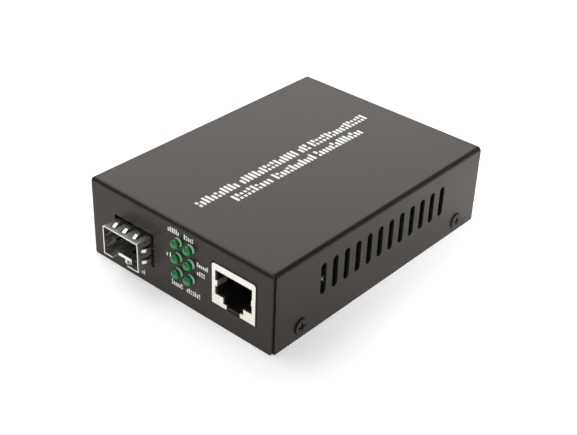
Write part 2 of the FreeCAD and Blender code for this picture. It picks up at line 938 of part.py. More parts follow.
def rj45_housing():
    """Moulded body inside the shield, with the stepped plug opening and wire channels."""
    half = jack_width / 2 - jack_sheet - jack_fit
    top = jack_bottom + jack_height - jack_sheet - jack_fit
    face = jack_front + jack_sheet + jack_fit
    body = block(
        jack_x - half, jack_x + half, face, jack_back - jack_sheet - jack_fit, jack_bottom, top
    )
    body = rounded(body, jack_corner_radius, V(0, 1, 0), lambda point: point.z > jack_bottom + jack_sheet)
    opening = prism(jack_section(jack_cavity_inset), "xz", jack_front, jack_front + jack_cavity_depth)
    springs = [jack_spring(side, jack_contact_space) for side in (-1, 1)]
    wires = [jack_contact(index, jack_contact_space) for index in range(jack_contacts)]
    body = body.cut([opening] + springs).cut(wires)
    pegs = jack_posts(jack_peg_radius, board_top - jack_peg_length)
    return [joined([body] + pegs + jack_posts(jack_foot_radius, board_top))]


# ---- Indicator lamps ----------------------------------------------------------------
def lamp(x, z):
    """Round lamp lying along Y: flange, body and domed tip."""
    tip = front - lamp_reach
    flange_front = panel_back + lamp_setback
    body = rod(lamp_radius, V(x, tip + lamp_radius, z), V(x, flange_front, z))
    flange = rod(lamp_flange_radius, V(x, flange_front, z), V(x, flange_front + lamp_flange, z))
    dome = Part.makeSphere(lamp_radius, V(x, tip + lamp_radius, z), V(0, -1, 0), 0, 90, 360)
    return joined([body, flange, dome])


def holder_back(row):
    """Depth of the stepped back of the lamp holder at one row."""
    return panel_back + lamp_setback + lamp_flange + holder_depth + holder_step * row


def lamp_lead(x, z, row, extra):
    """One lamp lead: straight back through the holder, then down through the board."""
    section = lead_section + 2 * extra
    start = panel_back + lamp_setback + lamp_flange
    fall = holder_back(row) + lead_bend_gap
    line = [(start, z), (fall, z), (fall, pin_end - extra)]
    return bent_strip(line, section, section, "yz", x - section / 2, x + section / 2)


def lead_places():
    """Each lamp lead as (x, z, row)."""
    return [
        (x + side * lead_pitch / 2, z, row)
        for x in lamp_columns
        for row, z in enumerate(lamp_heights)
        for side in (-1, 1)
    ]


def lamp_leads():
    """Twelve square leads, two to a lamp."""
    return [lamp_lead(x, z, row, 0) for x, z, row in lead_places()]


def lamp_holder():
    """Moulded block that holds the lamps in line with the panel, stepped at its back."""
    left = lamp_columns[0] - holder_overlap
    right = lamp_columns[-1] + holder_overlap
    face = panel_back + holder_panel_gap
    seat = panel_back + lamp_setback + lamp_flange
    steps = []
    low = board_top
    for row, z in enumerate(lamp_heights):
        high = z + lamp_pitch / 2
        steps.append(block(left, right, face, holder_back(row), low, high))
        low = high
    cuts = []
    for x in lamp_columns:
        for z in lamp_heights:
            cuts.append(rod(lamp_flange_radius + lamp_fit, V(x, face - lamp_flange, z), V(x, seat, z)))
    for x, z, row in lead_places():
        half = lead_section / 2 + lamp_fit
        cuts.append(block(x - half, x + half, seat - lamp_flange, holder_back(row) + 1, z - half, z + half))
    return [joined(steps).cut(cuts)]


# ---- DC inlet -----------------------------------------------------------------------
def inlet_tail_places():
    """Solder tails as (x, y, turned across or not)."""
    return [
        (inlet_x, inlet_front - inlet_depth + inlet_tail_sheet, True),
        (inlet_x, inlet_front - inlet_depth / 2, True),
        (inlet_x - inlet_width / 2 + 2 * inlet_tail_sheet, inlet_front - inlet_depth * 0.75, False),
    ]


def inlet_tail(x, y, across, extra):
    """Flat solder tail from inside the body down through the board."""
    wide = inlet_tail_width / 2 + extra
    thin = inlet_tail_sheet / 2 + extra
    half_x, half_y = (wide, thin) if across else (thin, wide)
    top = board_top + inlet_tail_width + extra
    return block(x - half_x, x + half_x, y - half_y, y + half_y, pin_end - extra, top)


def dc_jack_contacts():
    """Three flat solder tails of the inlet."""
    return [inlet_tail(x, y, across, 0) for x, y, across in inlet_tail_places()]


def dc_jack_pin():
    """Centre pin with a rounded tip and the collar that it is riveted by."""
    mouth = back_panel_outside
    root = mouth - inlet_bore_depth
    pin = rod(
        inlet_pin_radius,
        V(inlet_x, root - inlet_pin_root, inlet_axis),
        V(inlet_x, mouth - inlet_pin_setback, inlet_axis),
    )
    rim = [edge for edge in pin.Edges if edge.Closed and edge.CenterOfMass.y > root + 1]
    return [pin.makeFillet(inlet_pin_radius * 0.45, rim)]


def dc_jack_housing():
    """Moulded inlet: square flange, round-topped body and the nose through the back panel."""
    half = inlet_width / 2
    rear = inlet_front - inlet_depth
    flange = block(
        inlet_x - half, inlet_x + half, inlet_front - inlet_flange, inlet_front,
        board_top, board_top + inlet_flange_height,
    )
    foot = block(inlet_x - half, inlet_x + half, rear, inlet_front, board_top, inlet_axis)
    barrel = rod(half, V(inlet_x, rear, inlet_axis), V(inlet_x, inlet_front, inlet_axis))
    nose = rod(
        inlet_nose_radius, V(inlet_x, rear, inlet_axis), V(inlet_x, back_panel_outside, inlet_axis)
    )
    bore_start = back_panel_outside - inlet_bore_depth
    bore = rod(
        inlet_bore_radius, V(inlet_x, bore_start, inlet_axis), V(inlet_x, back + sheet, inlet_axis)
    )
    pin_hole = rod(
        inlet_pin_radius + solder_gap,
        V(inlet_x, bore_start - inlet_pin_root, inlet_axis),
        V(inlet_x, bore_start, inlet_axis),
    )
    tails = [inlet_tail(x, y, across, solder_gap) for x, y, across in inlet_tail_places()]
    return [joined([flange, foot, barrel, nose]).cut([bore, pin_hole] + tails)]


# ---- Chips and their leads ----------------------------------------------------------
def gull_lead(edge, place, level):
    """Bent lead of a surface-mounted part that leaves its body along +X."""
    half = gull_width / 2
    foot = board_top + solder_gap + gull_sheet / 2
    line = [
        (edge, level),
        (edge + 0.35 * gull_reach, level),
        (edge + gull_reach - gull_foot, foot),
        (edge + gull_reach, foot),
    ]
    return bent_strip(line, gull_sheet, 0, "xz", place - half, place + half)


def lead_row(centre, edge, count, pitch, level, angle):
    """Leads along one side of a body, that side turned by an angle."""
    row = []
    for index in range(count):
        place = (index - (count - 1) / 2) * pitch
        lead = gull_lead(edge, place, level)
        row.append(moved(lead, V(centre[0], centre[1], 0), V(0, 0, 1), angle))
    return row


def body_block(centre, size, corner):
    """Moulded body that stands a little clear of the board."""
    lift = board_top + solder_gap
    body = block(
        centre[0] - size[0] / 2, centre[0] + size[0] / 2,
        centre[1] - size[1] / 2, centre[1] + size[1] / 2,
        lift, lift + size[2],
    )
    return rounded(body, corner, V(0, 0, 1)) if corner else body


def converter_chip():
    """Flat square body of the converter chip."""
    return [body_block(chip_place, chip_size, chip_size[2] / 4)]


def converter_chip_leads():
    """Leads on all four sides of the converter chip."""
    level = board_top + chip_size[2] / 2
    leads = []
    for quarter in range(4):
        edge = chip_size[quarter % 2] / 2
        leads += lead_row(chip_place, edge, chip_leads_per_side, chip_lead_pitch, level, 90 * quarter)
    return leads


def line_transformer():
    """Moulded block of the line transformer."""
    return [body_block(transformer_place, transformer_size, 0)]


def line_transformer_leads():
    """Leads along both long sides of the line transformer."""
    level = board_top + gull_reach
    leads = []
    for angle in (90, 270):
        leads += lead_row(
            transformer_place, transformer_size[1] / 2,
            transformer_leads_per_side, transformer_lead_pitch, level, angle,
        )
    return leads


def small_chips():
    """Bodies of the settings memory and of the voltage regulator."""
    return [body_block(place, small_chip_size, 0) for place in (memory_place, regulator_place)]


def small_chip_leads():
    """Leads along both long sides of the two small chips."""
    level = board_top + small_chip_size[2] / 2
    leads = []
    for place in (memory_place, regulator_place):
        for angle in (90, 270):
            leads += lead_row(
                place, small_chip_size[1] / 2,
                small_chip_leads_per_side, small_chip_lead_pitch, level, angle,
            )
    return leads


# ---- Other parts on the board -------------------------------------------------------
def racetrack(centre, width, length, low, high):
    """Upright solid with straight sides along X and round ends."""
    end = width / 2
    run = (length - width) / 2
    x, y = centre
    middle = block(x - run, x + run, y - end, y + end, low, high)
    ends = [rod(end, V(x + side * run, y, low), V(x + side * run, y, high)) for side in (-1, 1)]
    return joined([middle] + ends)


def crystal_can():
    """Pressed can of the crystal on its wider flange."""
    low = board_top + solder_gap
    rim = low + crystal_flange
    top = low + crystal_height
    flange = racetrack(crystal_place, crystal_width, crystal_length, low, rim)
    can = racetrack(
        crystal_place, crystal_width - crystal_flange, crystal_length - crystal_flange, rim, top
    )
    return [joined([flange, can])]


def power_inductor():
    """Shielded inductor: a square ferrite block with bevelled corners and a round core."""
    low = board_top + solder_gap
    half = inductor_size / 2
    x, y = inductor_place
    body = block(x - half, x + half, y - half, y + half, low, low + inductor_height)
    edges = [edge for edge in body.Edges if abs(edge.tangentAt(edge.FirstParameter).z) > 0.99]
    body = body.makeChamfer(inductor_corner, edges)
    ring_outer = rod(half * 0.8, V(x, y, low + inductor_height * 0.85), V(x, y, low + 2 * inductor_height))
    ring_inner = rod(half * 0.68, V(x, y, low), V(x, y, low + 2 * inductor_height))
    return [body.cut(ring_outer.cut(ring_inner))]


def capacitor_cans():
    """Rolled aluminium cans with the groove that crimps them to their seals."""
    foot = board_top + solder_gap + capacitor_base
    top = foot + capacitor_height - capacitor_base
    groove = foot + capacitor_base
    profile = [
        (0, foot),
        (capacitor_radius, foot),
        (capacitor_radius, groove),
        (capacitor_radius - capacitor_groove, groove + capacitor_groove),
        (capacitor_radius, groove + 2 * capacitor_groove),
        (capacitor_radius, top - capacitor_groove),
        (capacitor_radius - capacitor_groove, top),
        (0, top),
    ]
    return [turned(profile, V(x, y, 0)) for x, y in capacitor_places]


def capacitor_bases():
    """Square moulded bases of the capacitors, with two cut corners."""
    low = board_top + solder_gap
    half = capacitor_radius + capacitor_base_overhang
    cut = capacitor_radius / 3
    outline = [(-half, -half), (half - cut, -half), (half, cut - half)]
    outline += [(half, half - cut), (half - cut, half), (-half, half)]
    bases = []
    for x, y in capacitor_places:
        corners = [(x + u, y + v) for u, v in outline]
        bases.append(prism(corners, "xy", low, low + capacitor_base))
    return bases


def rectifier_diode():
    """Moulded diode body with its cathode end bevelled."""
    body = body_block(diode_place, diode_size, 0)
    top = board_top + solder_gap + diode_size[2]
    x = diode_place[0] - diode_size[0] / 2
    y = diode_place[1]
    bevel = [(x, top), (x + diode_size[2] / 4, top), (x, top - diode_size[2] / 4)]
    return [body.cut(prism(bevel, "xz", y - diode_size[1], y + diode_size[1]))]


def diode_straps():
    """Tinned straps that wrap from the ends of the diode to the board."""
    level = board_top + solder_gap + diode_size[2] / 2
    half = diode_strap_width / 2
    straps = []
    for side in (-1, 1):
        x = diode_place[0] + side * (diode_size[0] / 2 + diode_strap)
        near, far = sorted((x - side * diode_strap, x))
        y = diode_place[1]
        straps.append(block(near, far, y - half, y + half, board_top + solder_gap, level))
    return straps


def chip_resistors():
    """Row of surface-mounted resistors and capacitors beside the converter chip."""
    x, y0 = resistor_row_place
    return [
        body_block((x, y0 + index * resistor_row_pitch), resistor_size, 0)
        for index in range(resistor_row_count)
    ]


# ---- Circuit board ------------------------------------------------------------------
def board_holes():
    """Clearance holes for the screws and for everything soldered through the board."""
    low = board_bottom - sheet
    high = board_top + sheet
    screw = thread_radius + board_screw_clearance
    holes = [rod(screw, V(x, y, low), V(x, y, high)) for x, y in standoff_spots]
    lead = lead_section * 0.75 + pin_hole_clearance
    for x, z, row in lead_places():
        y = holder_back(row) + lead_bend_gap
        holes.append(rod(lead, V(x, y, low), V(x, y, high)))
    for pin in cage_pins() + jack_shield_pins(0) + rj45_contacts() + dc_jack_contacts():
        box = pin.common(block(-case_width, case_width, front, back, low, board_bottom)).BoundBox
        middle = box.Center
        radius = math.hypot(box.XLength, box.YLength) / 2 + pin_hole_clearance / 2
        holes.append(rod(radius, V(middle.x, middle.y, low), V(middle.x, middle.y, high)))
    return holes + jack_posts(jack_peg_radius + pin_hole_clearance, low)


def circuit_board():
    """Bare board with rounded corners and its drilled holes."""
    half = board_half_width
    board = block(-half, half, board_front, board_back, board_bottom, board_top)
    board = rounded(board, board_corner_radius, V(0, 0, 1))
    return [board.cut(board_holes())]


# ---- Output -------------------------------------------------------------------------
def lamp_names():
    """Lamp nodes with the place of each lamp on the panel."""
    names = []
    for side, x in zip(("left", "right"), lamp_columns):
        for level, z in zip(("bottom", "middle", "top"), lamp_heights):
            names.append((f"indicator_lamp_{side}_{level}", x, z))
    return names


def part_nodes():
    """Every node's name and its separate solids."""
    makers = [
        housing_shell, base_plate, cover_screws, board_standoffs, board_screws, circuit_board,
        sfp_cage_shell, sfp_cage_floor, sfp_connector_body, sfp_connector_contacts,
        rj45_shield, rj45_housing, rj45_contacts,
        lamp_holder, lamp_leads,
        dc_jack_housing, dc_jack_pin, dc_jack_contacts,
        converter_chip, converter_chip_leads, line_transformer, line_transformer_leads,
        small_chips, small_chip_leads, crystal_can, power_inductor,
        capacitor_cans, capacitor_bases, rectifier_diode, diode_straps, chip_resistors,
    ]
    nodes = {maker.__name__: maker() for maker in makers}
    for name, x, z in lamp_names():
        nodes[name] = [lamp(x, z)]
    return nodes


os.makedirs("parts", exist_ok=True)
for name, solids in part_nodes().items():
    shape = solids[0] if len(solids) == 1 else Part.makeCompound(solids)
    shape.exportStep(f"parts/{name}.step")
    print(name, len(shape.Solids), round(shape.Volume, 2), shape.isValid())
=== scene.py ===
import math

import bpy
import numpy as np
from mathutils import Matrix, Vector


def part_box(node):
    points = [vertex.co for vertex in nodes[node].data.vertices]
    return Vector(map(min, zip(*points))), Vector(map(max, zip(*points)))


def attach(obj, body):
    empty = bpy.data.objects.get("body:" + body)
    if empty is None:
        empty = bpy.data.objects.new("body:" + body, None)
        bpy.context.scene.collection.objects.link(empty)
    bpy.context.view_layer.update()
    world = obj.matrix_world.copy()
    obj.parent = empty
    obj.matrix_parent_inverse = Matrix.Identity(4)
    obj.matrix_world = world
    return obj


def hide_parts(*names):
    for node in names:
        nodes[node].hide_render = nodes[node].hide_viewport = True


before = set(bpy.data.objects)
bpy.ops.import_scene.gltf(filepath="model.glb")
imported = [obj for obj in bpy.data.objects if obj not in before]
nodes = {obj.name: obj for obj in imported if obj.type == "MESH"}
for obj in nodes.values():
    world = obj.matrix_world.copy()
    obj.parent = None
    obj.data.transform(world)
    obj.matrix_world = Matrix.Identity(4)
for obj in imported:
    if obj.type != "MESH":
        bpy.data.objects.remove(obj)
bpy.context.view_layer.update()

mm = 0.001

# ---- Cover and base -----------------------------------------------------------------
# The case is two folded steel sheets, 0.8 mm thick. Both are sprayed with the same dark
# warm-grey powder coat: half-dull, with a very fine orange-peel grain.


class Wire:
    """One output socket; arithmetic on it adds the Math node that does it."""

    def __init__(self, finish, socket):
        self.finish = finish
        self.socket = socket

    def math(self, operation, first, second):
        return self.finish.node("ShaderNodeMath", {"operation": operation}, {0: first, 1: second})

    def __add__(self, other):
        return self.math("ADD", self, other)

    def __radd__(self, other):
        return self.math("ADD", other, self)

    def __mul__(self, other):
        return self.math("MULTIPLY", self, other)

    def __rmul__(self, other):
        return self.math("MULTIPLY", other, self)

    def __gt__(self, other):
        return self.math("GREATER_THAN", self, other)


class Finish:
    """A material being put together; node() adds any node to it and returns an output."""

    def __init__(self, name):
        self.material = bpy.data.materials.new(name)
        self.material.use_nodes = True
        self.tree = self.material.node_tree
        self.tree.nodes.clear()

    def node(self, kind, settings=None, inputs=None, output=0):
        """Any node: its settings first, then the values or links of its sockets."""
        made = self.tree.nodes.new(kind)
        for key, value in (settings or {}).items():
            setattr(made, key, value)
        for key, value in (inputs or {}).items():
            if isinstance(value, Wire):
                self.tree.links.new(value.socket, made.inputs[key])
            else:
                made.inputs[key].default_value = value
        return Wire(self, made.outputs[output]) if made.outputs else None

    def place(self):
        """Object coordinates, in metres."""
        return self.node("ShaderNodeTexCoord", output="Object")

    def stretched(self, scale):
        """Object coordinates multiplied by three factors."""
        settings = {"operation": "MULTIPLY"}
        return self.node("ShaderNodeVectorMath", settings, {0: self.place(), 1: scale})

    def noise(self, size, detail=2.0, rough=0.5, place=None):
        """Noise from 0 to 1 whose blotches are about one size across, in metres."""
        inputs = {"Vector": place or self.place(), "Scale": 1 / size}
        inputs.update({"Detail": detail, "Roughness": rough})
        return self.node("ShaderNodeTexNoise", None, inputs)

    def step(self, value, low, high):
        """Smooth step from 0 at the low value to 1 at the high one."""
        inputs = {"Value": value, "From Min": low, "From Max": high}
        return self.node("ShaderNodeMapRange", {"interpolation_type": "SMOOTHSTEP"}, inputs)

    def blend(self, amount, first, second):
        """Colour between two colours."""
        inputs = {"Factor": amount, 6: first, 7: second}
        return self.node("ShaderNodeMix", {"data_type": "RGBA"}, inputs, 2)

    def bump(self, height, strength, distance):
        """Normal of a surface raised by a height from 0 to 1, times a distance in metres."""
        inputs = {"Height": height, "Strength": strength, "Distance": distance}
        return self.node("ShaderNodeBump", None, inputs)

    def surface(self, inputs):
        """Principled surface as the material's output."""
        shader = self.node("ShaderNodeBsdfPrincipled", None, inputs)
        self.node("ShaderNodeOutputMaterial", None, {"Surface": shader})
        return self.material


def rgb(red, green, blue):
    return (red, green, blue, 1.0)


def powder_coat():
    """Dark warm grey coat: fine speckle in colour and gloss over a shallow orange peel."""
    finish = Finish("grey_powder_coat")
    speckle = finish.noise(0.0005, 3.0, 0.7)
    peel = finish.noise(0.0012, 2.0)
    cloud = finish.noise(0.018, 2.0)
    colour = finish.blend(speckle, rgb(0.010, 0.008, 0.0065), rgb(0.028, 0.022, 0.018))
    colour = finish.blend(cloud * 0.35, colour, rgb(0.019, 0.015, 0.012))
    return finish.surface({
        "Base Color": colour,
        "Roughness": 0.28 + speckle * 0.16,
        "Specular IOR Level": 0.30,
        "Specular Tint": rgb(1.0, 0.89, 0.80),
        "Normal": finish.bump(peel * 0.7 + speckle * 0.3, 0.6, 0.00004),
    })


def dressed(material, *names):
    """CAD nodes shown in one material."""
    for name in names:
        slots = nodes[name].data.materials
        slots.clear()
        slots.append(material)


dressed(powder_coat(), "housing_shell", "base_plate")

# ---- White marks --------------------------------------------------------------------
# Screen-printed white ink, a few hundredths of a millimetre proud of the coat. The rows
# are plain rounded bars and squares in groups and say nothing.

ink_thickness = 0.03 * mm
roof_bar = 0.95 * mm
panel_bar = 0.5 * mm
bar_pitch = 1.62


def white_ink():
    """Slightly uneven matt white ink."""
    finish = Finish("white_ink")
    cover = finish.noise(0.0004, 3.0)
    return finish.surface({
        "Base Color": finish.blend(cover, rgb(0.90, 0.89, 0.86), rgb(0.98, 0.97, 0.95)),
        "Roughness": 0.5 + cover * 0.2,
        "Normal": finish.bump(cover, 0.3, 0.00002),
    })


def bar_row(start, end, height, width, seed):
    """Upright bars of one group, as (across, up, half width, half height) rows.

    Each step of the row holds a full bar, a short one, or one split in two, in an order
    that a small multiplying rule picks from the seed."""
    pitch = bar_pitch * width
    count = max(1, int(round((end - start + pitch - width) / pitch)))
    across = np.linspace(start + width / 2, end - width / 2, count)
    rule = (np.arange(count) * 7 + seed * 5 + (np.arange(count) ** 2) * 3) % 11
    spans = [(0.0, 1.0), (0.0, 0.7), (0.0, 0.34), (0.52, 1.0)]
    kinds = [(rule % 3 == 0, 0), (rule % 3 == 1, 1), (rule % 3 == 2, 2), (rule % 3 == 2, 3)]
    rows = []
    for chosen, span in kinds:
        low, high = spans[span]
        top = high if span < 3 else np.where(rule[chosen] > 5, 1.0, 0.84)
        middle = np.full(chosen.sum(), 1.0) * (low + top) / 2 * height
        half = np.full(chosen.sum(), 1.0) * (top - low) / 2 * height
        thick = np.full(chosen.sum(), width / 2)
        rows.append(np.stack([across[chosen], middle, thick, half], axis=1))
    return np.concatenate(rows)


def stamps(name, bars, lay, roundness=5.0, steps=20):
    """Raised stamps: superellipses |u|^n + |v|^n = 1 drawn round each bar's centre."""
    angle = np.arange(steps) * 2 * math.pi / steps
    u = np.sign(np.cos(angle)) * np.abs(np.cos(angle)) ** (2 / roundness)
    v = np.sign(np.sin(angle)) * np.abs(np.sin(angle)) ** (2 / roundness)
    rim = bars[:, None, :2] + bars[:, None, 2:] * np.stack([u, v], axis=1)[None]
    count = len(bars)
    foot = np.concatenate([rim, np.zeros((count, steps, 1))], axis=2)
    face = np.concatenate([rim, np.full((count, steps, 1), ink_thickness)], axis=2)
    points = np.stack([foot, face], axis=1)
    index = np.arange(count * 2 * steps).reshape(count, 2, steps)
    a, b = index[:, 0], index[:, 1]
    quads = np.stack([a, np.roll(a, -1, 1), np.roll(b, -1, 1), b], axis=2)
    faces = quads.reshape(-1, 4).tolist() + index[:, 1].tolist() + index[:, 0, ::-1].tolist()
    mesh = bpy.data.meshes.new(name)
    mesh.from_pydata(lay(points.reshape(-1, 3)).tolist(), [], faces)
    return mesh


def piece(name, mesh, material, smooth=True):
    """Finished piece on the one body, in its material."""
    mesh.validate()
    mesh.update()
    mesh.polygons.foreach_set("use_smooth", np.full(len(mesh.polygons), smooth))
    mesh.materials.append(material)
    made = bpy.data.objects.new(name, mesh)
    bpy.context.scene.collection.objects.link(made)
    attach(made, "root")
    return made


shell_low, shell_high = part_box("housing_shell")
ink = white_ink()


def roof_row(name, baseline, height, groups, seed):
    """One row of marks along the roof, read from front to back, its foot at the baseline."""
    rows = [
        bar_row(start * mm, end * mm, height * mm, roof_bar, seed + step)
        for step, (start, end) in enumerate(groups)
    ]

    def lay(points):
        x = shell_high.x - baseline * mm - points[:, 1]
        return np.stack([x, shell_low.y + points[:, 0], shell_high.z + points[:, 2]], axis=1)

    piece(name, stamps(name, np.concatenate(rows), lay), ink, smooth=False)


long_groups = [(10.5, 26.3), (28.0, 52.0), (53.6, 57.6), (59.0, 85.0)]
short_groups = [(20.0, 35.0), (36.8, 54.2), (55.8, 76.5)]
roof_row("roof_marks_long", 36.7, 3.5, long_groups, 1)
roof_row("roof_marks_short", 31.6, 3.4, short_groups, 4)


def panel_label(name, from_right, width, low, height, seed):
    """Small group of marks on the front panel."""
    start = shell_high.x - from_right * mm

    def lay(points):
        y = shell_low.y - points[:, 2]
        return np.stack([start + points[:, 0], y, low * mm + points[:, 1]], axis=1)

    bars = bar_row(0.0, width * mm, height * mm, panel_bar, seed)
    piece(name, stamps(name, bars, lay), ink, smooth=False)


# Each place in millimetres: from the right side, width, foot above the floor, height.
label_places = [
    (39.2, 4.4, 22.2, 1.7), (32.9, 3.5, 22.2, 1.7), (39.9, 1.7, 13.7, 1.6), (28.0, 4.2, 15.6, 1.5),
    (28.0, 3.0, 12.8, 1.5), (38.1, 4.3, 4.9, 1.7), (32.1, 5.2, 4.9, 1.7), (57.0, 7.6, 2.2, 1.6),
]
for index, spot in enumerate(label_places):
    panel_label(f"panel_marks_{index + 1}", *spot, seed=index * 3 + 2)

# ---- Screws -------------------------------------------------------------------------
# Four countersunk steel screws in black oxide hold the cover to the base. The board is
# screwed to four zinc-plated standoffs that are pressed into the base.


def black_oxide():
    """Black oxide on steel, a little worn in colour and gloss."""
    finish = Finish("black_screws")
    wear = finish.noise(0.0003, 3.0)
    return finish.surface({
        "Base Color": finish.blend(wear, rgb(0.010, 0.009, 0.008), rgb(0.026, 0.023, 0.021)),
        "Roughness": 0.34 + wear * 0.2,
        "Specular IOR Level": 0.3,
        "Normal": finish.bump(wear, 0.2, 0.00002),
    })


def plated(name, dark, light, roughness, grain):
    """Bright plated sheet: fine rolling streaks in colour, gloss and relief."""
    finish = Finish(name)
    streak = finish.noise(grain, 4.0, 0.6, finish.stretched((1.0, 0.12, 1.0)))
    speck = finish.noise(0.0002, 2.0)
    return finish.surface({
        "Base Color": finish.blend(streak, dark, light),
        "Metallic": 1.0,
        "Roughness": roughness + streak * 0.12 + speck * 0.05,
        "Normal": finish.bump(streak, 0.15, 0.00002),
    })


# The zinc's colours are darkened as painted shade, standing in for the shade inside the closed
# case that keeps these heads from glinting through the slots.
zinc = plated("zinc_standoff", rgb(0.22, 0.23, 0.24), rgb(0.38, 0.39, 0.41), 0.42, 0.0005)
dressed(black_oxide(), "cover_screws")
dressed(zinc, "board_screws", "board_standoffs")

# ---- SFP cage -----------------------------------------------------------------------
# Stamped sheet in bright nickel, fingers and latch tongue lanced out of it, pressed into
# the board. The edge connector behind it is black moulding with gold-flashed springs.

nickel = plated("nickel_plate", rgb(0.60, 0.59, 0.565), rgb(1.0, 0.99, 0.965), 0.2, 0.0003)
dressed(nickel, "sfp_cage_shell", "sfp_cage_floor", "dc_jack_pin")


def moulding(name, dark, light, gloss):
    """Moulded plastic: a spark-eroded grain and a faint flow in the gloss."""
    finish = Finish(name)
    grain = finish.noise(0.00025, 3.0)
    flow = finish.noise(0.004, 2.0)
    return finish.surface({
        "Base Color": finish.blend(grain, dark, light),
        "Roughness": gloss + flow * 0.12,
        "Specular IOR Level": 0.35,
        "Normal": finish.bump(grain, 0.25, 0.00002),
    })


black = moulding("black_moulding", rgb(0.004, 0.004, 0.0045), rgb(0.012, 0.012, 0.0125), 0.42)
gold = plated("gold_contact", rgb(0.62, 0.42, 0.14), rgb(0.86, 0.62, 0.26), 0.22, 0.0003)
dressed(black, "sfp_connector_body", "rj45_housing", "lamp_holder", "dc_jack_housing")
dressed(black, "capacitor_bases")
dressed(gold, "sfp_connector_contacts", "rj45_contacts")

# ---- RJ45 socket --------------------------------------------------------------------
# A tinned brass shield wrapped round a black moulding that holds eight gold-flashed
# spring wires. It is soldered to the board and looks out of a hole in the panel.

tin = plated("jack_shield", rgb(0.78, 0.755, 0.68), rgb(1.0, 0.98, 0.90), 0.34, 0.0003)
dressed(tin, "rj45_shield")

# ---- Indicator lamps ----------------------------------------------------------------
# 3 mm lamps cast in green epoxy round a small metal cup on two leads. A black holder
# on the board carries all six behind the round holes of the panel.

lens_radius = 1.5 * mm
flange_radius = 1.9 * mm
flange_depth = 1.0 * mm


def lathe(profile, centre, steps=48):
    """Surface turned about an axis along Y: (radius, depth) rows carried round a circle."""
    angle = np.arange(steps) * 2 * math.pi / steps
    radius = profile[:, 0][:, None]
    depth = np.repeat(profile[:, 1][:, None], steps, axis=1)
    x = centre.x + radius * np.cos(angle)[None]
    z = centre.z + radius * np.sin(angle)[None]
    grid = np.stack([x, centre.y + depth, z], axis=2)
    index = np.arange(grid.shape[0] * steps).reshape(grid.shape[:2])
    a = index[:-1]
    b = index[1:]
    quads = np.stack([a, b, np.roll(b, -1, 1), np.roll(a, -1, 1)], axis=2).reshape(-1, 4).tolist()
    return grid.reshape(-1, 3), quads + [index[0].tolist(), index[-1, ::-1].tolist()]


def lens_profile(low, high):
    """Quarter circle from the tip, the straight body, and the wider flange behind it."""
    sweep = np.linspace(0.06, math.pi / 2, 14)
    tip = np.stack([np.sin(sweep), 1 - np.cos(sweep)], axis=1) * lens_radius + (0, low)
    flange = high - flange_depth
    body = [(lens_radius, flange), (flange_radius, flange), (flange_radius, high)]
    return np.concatenate([tip, np.array(body)])


def green_epoxy(tip):
    """Green epoxy with painted shade deepening towards the dome's foot and a painted pale
    highlight in the straight body.

    The tip is a place on the Y axis in metres."""
    finish = Finish("green_lamp")
    haze = finish.noise(0.0008, 2.0)
    depth = finish.node("ShaderNodeSeparateXYZ", None, {"Vector": finish.place()}, 1)
    # Painted shade: this mask darkens the dome's green from the tip towards its foot.
    foot = finish.step(depth, tip, tip + lens_radius)
    # Painted highlight: this mask turns the straight body behind the dome pale, standing in for
    # light caught in the lens's flank.
    body = finish.step(depth, tip + lens_radius + 0.1 * mm, tip + lens_radius + 0.4 * mm)
    dome = finish.blend(haze, rgb(0.004, 0.25, 0.06), rgb(0.012, 0.36, 0.10))
    # The deep green here is the painted shade at the dome's foot.
    dome = finish.blend(foot, dome, rgb(0.001, 0.075, 0.018))
    return finish.surface({
        # The pale green here is the painted highlight in the straight body.
        "Base Color": finish.blend(body, dome, rgb(0.50, 0.96, 0.62)),
        "Roughness": 0.05 + haze * 0.06,
        "Transmission Weight": 0.12,
        "IOR": 1.5,
    })


def tube_rows(radius, start, end):
    """Profile of a closed round pin between two depths."""
    return np.array([(0.02 * radius, start), (radius, start), (radius, end), (0.02 * radius, end)])


lamps = [name for name in nodes if name.startswith("indicator_lamp")]
epoxy = green_epoxy(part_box(lamps[0])[0].y)
frame_metal = plated("lamp_frame", rgb(0.5, 0.5, 0.48), rgb(0.8, 0.8, 0.78), 0.25, 0.0004)
# Cup and posts in millimetres: (radius, depth) rows, and (sideways, radius, start, end).
cup = [(0.02, 2.75), (0.25, 2.75), (0.42, 2.5), (0.55, 2.5), (0.45, 3.3), (0.02, 3.3)]
cup_sideways = -0.35
posts = [(-0.35, 0.22, 3.2, 4.7), (0.75, 0.22, 2.4, 4.7)]
for name in lamps:
    low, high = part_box(name)
    middle = (low + high) / 2
    centre = Vector((middle.x, 0.0, middle.z))
    points, faces = lathe(lens_profile(low.y, high.y), centre)
    mesh = bpy.data.meshes.new(name + "_lens")
    mesh.from_pydata(points.tolist(), [], faces)
    lens = piece(name + "_lens", mesh, epoxy)
    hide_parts(name)
    centre = Vector((middle.x + cup_sideways * mm, low.y, middle.z))
    points, faces = lathe(np.array(cup) * mm, centre, 24)
    for sideways, radius, start, end in posts:
        centre = Vector((middle.x + sideways * mm, low.y, middle.z))
        more, quads = lathe(tube_rows(radius * mm, start * mm, end * mm), centre, 12)
        faces = faces + [tuple(corner + len(points) for corner in quad) for quad in quads]
        points = np.concatenate([points, more])
    mesh = bpy.data.meshes.new(name + "_frame")
    mesh.from_pydata(points.tolist(), [], faces)
    piece(name + "_frame", mesh, frame_metal, smooth=False)

# ---- Board and what stands on it ----------------------------------------------------
# Green solder mask over copper tracks on glass epoxy; black epoxy packages with tinned
# leads, a bright crystal can, a ferrite coil and two aluminium can capacitors.


